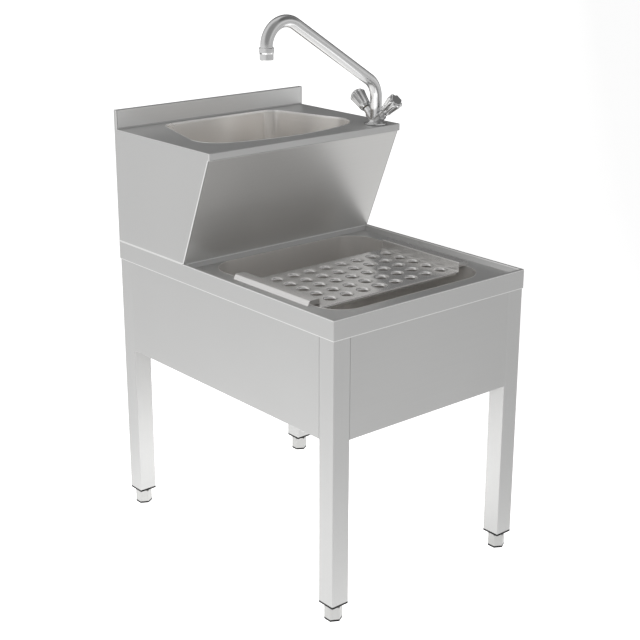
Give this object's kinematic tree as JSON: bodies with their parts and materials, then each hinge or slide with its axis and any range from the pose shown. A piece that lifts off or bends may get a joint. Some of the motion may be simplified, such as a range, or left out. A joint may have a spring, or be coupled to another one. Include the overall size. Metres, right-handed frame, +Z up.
{
  "type": "free-standing hand wash sink unit",
  "caption": "Free-standing stainless-steel sink unit with a raised hand basin and swivel tap, a lower utility bowl with a lift-off grate, and levelling feet.",
  "frame": {"origin": "centre of the footprint, on the floor", "axes": "+Z up, +X to the user's right, +Y from the user to the back of the unit"},
  "size_m": [0.5, 0.7, 1.0942],
  "materials": {
    "sheet_steel": "fine brushed, satin",
    "bowl_steel": "fine satin, slightly brighter",
    "leg_steel": "fine brushed along the tube",
    "grate_steel": "fine brushed, bright dimples",
    "grid_steel": "polished",
    "foot_aluminium": "light satin",
    "black_plastic": "matte black",
    "zinc_steel": "zinc plated",
    "tap_chrome": "satin chrome",
    "sleeve_chrome": "polished chrome",
    "brass": "plain brass",
    "grey_plastic": "moulded",
    "seal_rubber": "black rubber",
    "hose_braid": "woven stainless braid",
    "white_plastic": "moulded, slight sheen"
  },
  "bodies": {
    "frame": {"apron_front": "sheet_steel", "apron_left": "sheet_steel", "apron_right": "sheet_steel", "basin_downpipe": "white_plastic", "basin_waste_body": "white_plastic", "basin_waste_grid": "grid_steel", "bowl_waste_body": "white_plastic", "bowl_waste_grid": "grid_steel", "foot_studs": "zinc_steel", "frame_screws": "zinc_steel", "hand_basin_bowl": "bowl_steel", "hand_basin_top": "sheet_steel", "headwork_front": "sleeve_chrome", "headwork_rear": "sleeve_chrome", "hose_cold": "hose_braid", "hose_hot": "hose_braid", "hose_nuts": "brass", "housing_screws": "zinc_steel", "housing_side_left": "sheet_steel", "housing_side_right": "sheet_steel", "leg_front_left": "leg_steel", "leg_front_right": "leg_steel", "leg_inserts": "black_plastic", "leg_rear_left": "leg_steel", "leg_rear_right": "leg_steel", "lower_worktop": "sheet_steel", "outlet_pipe": "white_plastic", "rear_brace": "sheet_steel", "splash_panel": "sheet_steel", "spout_screw": "zinc_steel", "tap_backnut": "zinc_steel", "tap_body": "tap_chrome", "tap_clamp": "zinc_steel", "tap_seal": "seal_rubber", "tap_stud": "zinc_steel", "trap_body": "white_plastic", "trap_cup": "white_plastic", "utility_bowl": "bowl_steel", "waste_screws": "zinc_steel", "waste_seals": "seal_rubber"},
    "spout": {"spout_tube": "tap_chrome", "spout_o_rings": "seal_rubber", "aerator_shell": "tap_chrome", "aerator_insert": "grey_plastic"},
    "front_knob": {"spindle_front": "brass", "knob_front": "tap_chrome", "knob_cap_front": "tap_chrome"},
    "rear_knob": {"spindle_rear": "brass", "knob_rear": "tap_chrome", "knob_cap_rear": "tap_chrome"},
    "grate": {"grate": "grate_steel"},
    "foot_pad_front_left": {"foot_sole_front_left": "black_plastic"},
    "foot_body_front_left": {"foot_hex_front_left": "foot_aluminium"},
    "foot_pad_front_right": {"foot_sole_front_right": "black_plastic"},
    "foot_body_front_right": {"foot_hex_front_right": "foot_aluminium"},
    "foot_pad_rear_left": {"foot_sole_rear_left": "black_plastic"},
    "foot_body_rear_left": {"foot_hex_rear_left": "foot_aluminium"},
    "foot_pad_rear_right": {"foot_sole_rear_right": "black_plastic"},
    "foot_body_rear_right": {"foot_hex_rear_right": "foot_aluminium"}
  },
  "joints": [
    {"name": "spout_swivel", "type": "hinge", "parent": "frame", "child": "spout", "pos_m": [0.205, 0.042, 0.886], "axis": [0, 0, 1], "continuous": true},
    {"name": "front_knob_turn", "type": "hinge", "parent": "frame", "child": "front_knob", "pos_m": [0.205, 0.042, 0.856], "axis": [0, -0.766, 0.6428], "range_deg": [0, 180]},
    {"name": "rear_knob_turn", "type": "hinge", "parent": "frame", "child": "rear_knob", "pos_m": [0.205, 0.042, 0.856], "axis": [0, 0.766, 0.6428], "range_deg": [0, 180]},
    {"name": "grate_lift", "type": "slide", "parent": "frame", "child": "grate", "axis": [0, 0, 1], "range_m": [0, 0.12]},
    {"name": "foot_travel_front_left", "type": "slide", "parent": "frame", "child": "foot_pad_front_left", "axis": [0, 0, 1], "range_m": [-0.015, 0]},
    {"name": "foot_turn_front_left", "type": "hinge", "parent": "foot_pad_front_left", "child": "foot_body_front_left", "pos_m": [-0.2282, -0.3282, 0], "axis": [0, 0, 1], "range_deg": [-3600, 0]},
    {"name": "foot_travel_front_right", "type": "slide", "parent": "frame", "child": "foot_pad_front_right", "axis": [0, 0, 1], "range_m": [-0.015, 0]},
    {"name": "foot_turn_front_right", "type": "hinge", "parent": "foot_pad_front_right", "child": "foot_body_front_right", "pos_m": [0.2282, -0.3282, 0], "axis": [0, 0, 1], "range_deg": [-3600, 0]},
    {"name": "foot_travel_rear_left", "type": "slide", "parent": "frame", "child": "foot_pad_rear_left", "axis": [0, 0, 1], "range_m": [-0.015, 0]},
    {"name": "foot_turn_rear_left", "type": "hinge", "parent": "foot_pad_rear_left", "child": "foot_body_rear_left", "pos_m": [-0.2282, 0.3282, 0], "axis": [0, 0, 1], "range_deg": [-3600, 0]},
    {"name": "foot_travel_rear_right", "type": "slide", "parent": "frame", "child": "foot_pad_rear_right", "axis": [0, 0, 1], "range_m": [-0.015, 0]},
    {"name": "foot_turn_rear_right", "type": "hinge", "parent": "foot_pad_rear_right", "child": "foot_body_rear_right", "pos_m": [0.2282, 0.3282, 0], "axis": [0, 0, 1], "range_deg": [-3600, 0]}
  ],
  "couplings": [
    {"joint": "foot_travel_front_left", "follows": "foot_turn_front_left", "m_per_rad": 0.00023873},
    {"joint": "foot_travel_front_right", "follows": "foot_turn_front_right", "m_per_rad": 0.00023873},
    {"joint": "foot_travel_rear_left", "follows": "foot_turn_rear_left", "m_per_rad": 0.00023873},
    {"joint": "foot_travel_rear_right", "follows": "foot_turn_rear_right", "m_per_rad": 0.00023873}
  ]
}
